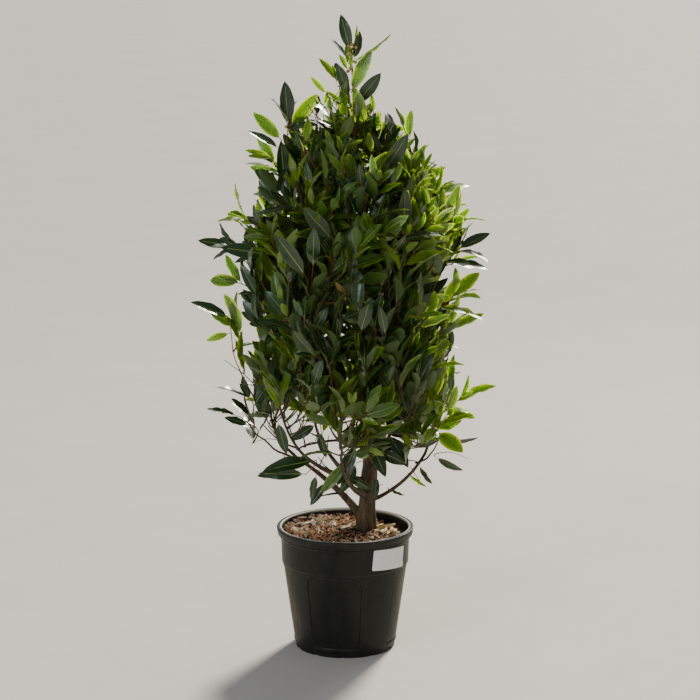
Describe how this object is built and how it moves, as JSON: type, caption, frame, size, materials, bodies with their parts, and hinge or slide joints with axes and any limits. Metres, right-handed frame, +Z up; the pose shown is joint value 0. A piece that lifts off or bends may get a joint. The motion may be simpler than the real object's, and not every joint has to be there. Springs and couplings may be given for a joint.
{
  "type": "potted bay pyramid topiary",
  "caption": "Bay laurel trained to a loose leafy pyramid, its trunk and boughs rising from bark-topped soil in a round dark nursery pot with arched wall panels.",
  "frame": {"origin": "middle of the pot's flat underside, on the pot's axis, at the level that it stands on", "axes": "+Z up along the pot's axis, +X to the right and -Y towards the viewer as the picture shows the plant"},
  "size_m": [0.6155, 0.6175, 1.3738],
  "materials": {
    "black_plastic": "satin",
    "label_paper": "satin",
    "bark_mulch": "matte",
    "bark": "matte",
    "leaves": "satin"
  },
  "bodies": {
    "root": {"pot": "black_plastic", "label": "label_paper", "soil": "bark_mulch", "trunk": "bark", "bough_low_1": "bark", "bough_low_2": "bark", "bough_low_3": "bark", "bough_low_4": "bark", "bough_low_5": "bark", "bough_low_6": "bark", "bough_low_7": "bark", "bough_middle_1": "bark", "bough_middle_2": "bark", "bough_middle_3": "bark", "bough_middle_4": "bark", "bough_middle_5": "bark", "bough_middle_6": "bark", "bough_high_1": "bark", "bough_high_2": "bark", "bough_high_3": "bark", "bough_high_4": "bark", "bough_high_5": "bark", "foliage_low_1": "leaves", "foliage_low_2": "leaves", "foliage_low_3": "leaves", "foliage_low_4": "leaves", "foliage_low_5": "leaves", "foliage_low_6": "leaves", "foliage_low_7": "leaves", "foliage_middle_1": "leaves", "foliage_middle_2": "leaves", "foliage_middle_3": "leaves", "foliage_middle_4": "leaves", "foliage_middle_5": "leaves", "foliage_middle_6": "leaves", "foliage_high_1": "leaves", "foliage_high_2": "leaves", "foliage_high_3": "leaves", "foliage_high_4": "leaves", "foliage_high_5": "leaves", "foliage_leader": "leaves"}
  },
  "joints": []
}
